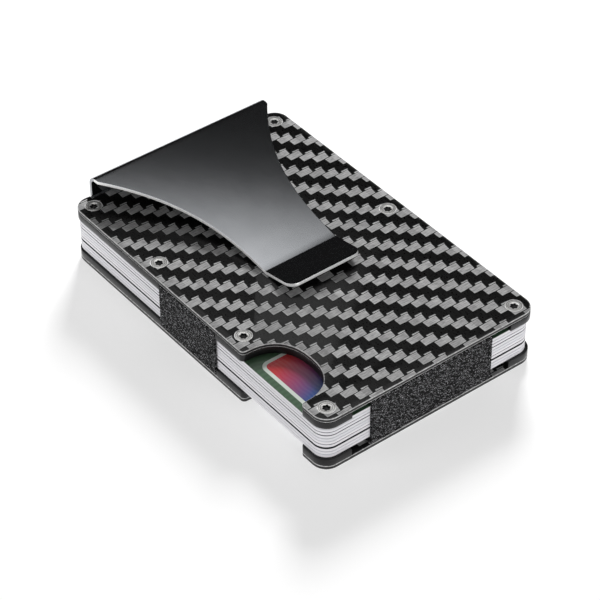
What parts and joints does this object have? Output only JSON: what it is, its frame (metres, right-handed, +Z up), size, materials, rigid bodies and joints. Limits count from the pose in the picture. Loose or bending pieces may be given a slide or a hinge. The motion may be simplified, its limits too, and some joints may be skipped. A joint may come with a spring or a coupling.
{
  "type": "minimalist wallet",
  "caption": "Rigid pocket card holder: two carbon-faced shells joined by woven elastics round a card stack, with a thumb notch and a sprung money clip.",
  "frame": {"origin": "centre of the wallet's outline on its bottom face", "axes": "+X from the clip end, where the cards come out, to the end closed by the strap; -Y side has the thumb notch; +Z up, out of the shell that carries the clip"},
  "size_m": [0.0862, 0.0552, 0.019],
  "materials": {
    "carbon": "satin twill carbon laminate",
    "anodised": "fine dark grey anodising",
    "screw_steel": "bright turned steel",
    "clip_steel": "black chrome, satin, bright along its cut edges",
    "elastic": "fine black woven elastic with grey flecks",
    "card_white": "smooth laminated card",
    "card_green": "smooth laminated card, green face"
  },
  "bodies": {
    "bottom_shell": {"bottom_plate": "carbon", "bottom_frame": "anodised", "bottom_screw_1": "screw_steel", "bottom_screw_2": "screw_steel", "bottom_screw_3": "screw_steel", "bottom_screw_4": "screw_steel", "bottom_screw_5": "screw_steel", "bottom_screw_6": "screw_steel", "bottom_screw_7": "screw_steel", "cross_elastic": "elastic", "end_elastic": "elastic"},
    "top_shell": {"top_plate": "carbon", "top_frame": "anodised", "top_screw_1": "screw_steel", "top_screw_2": "screw_steel", "top_screw_3": "screw_steel", "top_screw_4": "screw_steel", "top_screw_5": "screw_steel", "top_screw_6": "screw_steel", "top_screw_7": "screw_steel", "clip_root": "clip_steel", "clip_screw_1": "screw_steel", "clip_screw_2": "screw_steel"},
    "clip": {"clip_blade": "clip_steel"},
    "card_1": {"card_1": "card_white"},
    "card_2": {"card_2": "card_white"},
    "card_3": {"card_3": "card_white"},
    "card_4": {"card_4": "card_white"},
    "card_5": {"card_5": "card_white"},
    "card_6": {"card_6": "card_white"},
    "card_7": {"card_7": "card_white"},
    "card_8": {"card_8": "card_white"},
    "card_9": {"card_9": "card_white"},
    "card_10": {"card_10": "card_green"}
  },
  "joints": [
    {"name": "shell_lift", "type": "slide", "parent": "bottom_shell", "child": "top_shell", "axis": [0, 0, 1], "range_m": [0, 0.005], "stiffness_N_per_m": 600, "springref_m": -0.003, "deforming": ["cross_elastic", "end_elastic"]},
    {"name": "clip_flex", "type": "hinge", "parent": "top_shell", "child": "clip", "pos_m": [-0.0402, 0, 0.01863], "axis": [0, -1, 0], "range_deg": [0, 8], "stiffness_Nm_per_rad": 1.7, "springref_deg": -1.72},
    {"name": "card_1_slide", "type": "slide", "parent": "bottom_shell", "child": "card_1", "axis": [-1, 0, 0], "range_m": [0, 0.05]},
    {"name": "card_2_slide", "type": "slide", "parent": "bottom_shell", "child": "card_2", "axis": [-1, 0, 0], "range_m": [0, 0.05]},
    {"name": "card_3_slide", "type": "slide", "parent": "bottom_shell", "child": "card_3", "axis": [-1, 0, 0], "range_m": [0, 0.05]},
    {"name": "card_4_slide", "type": "slide", "parent": "bottom_shell", "child": "card_4", "axis": [-1, 0, 0], "range_m": [0, 0.05]},
    {"name": "card_5_slide", "type": "slide", "parent": "bottom_shell", "child": "card_5", "axis": [-1, 0, 0], "range_m": [0, 0.05]},
    {"name": "card_6_slide", "type": "slide", "parent": "bottom_shell", "child": "card_6", "axis": [-1, 0, 0], "range_m": [0, 0.05]},
    {"name": "card_7_slide", "type": "slide", "parent": "bottom_shell", "child": "card_7", "axis": [-1, 0, 0], "range_m": [0, 0.05]},
    {"name": "card_8_slide", "type": "slide", "parent": "bottom_shell", "child": "card_8", "axis": [-1, 0, 0], "range_m": [0, 0.05]},
    {"name": "card_9_slide", "type": "slide", "parent": "bottom_shell", "child": "card_9", "axis": [-1, 0, 0], "range_m": [0, 0.05]},
    {"name": "card_10_slide", "type": "slide", "parent": "bottom_shell", "child": "card_10", "axis": [-1, 0, 0], "range_m": [0, 0.05]}
  ]
}
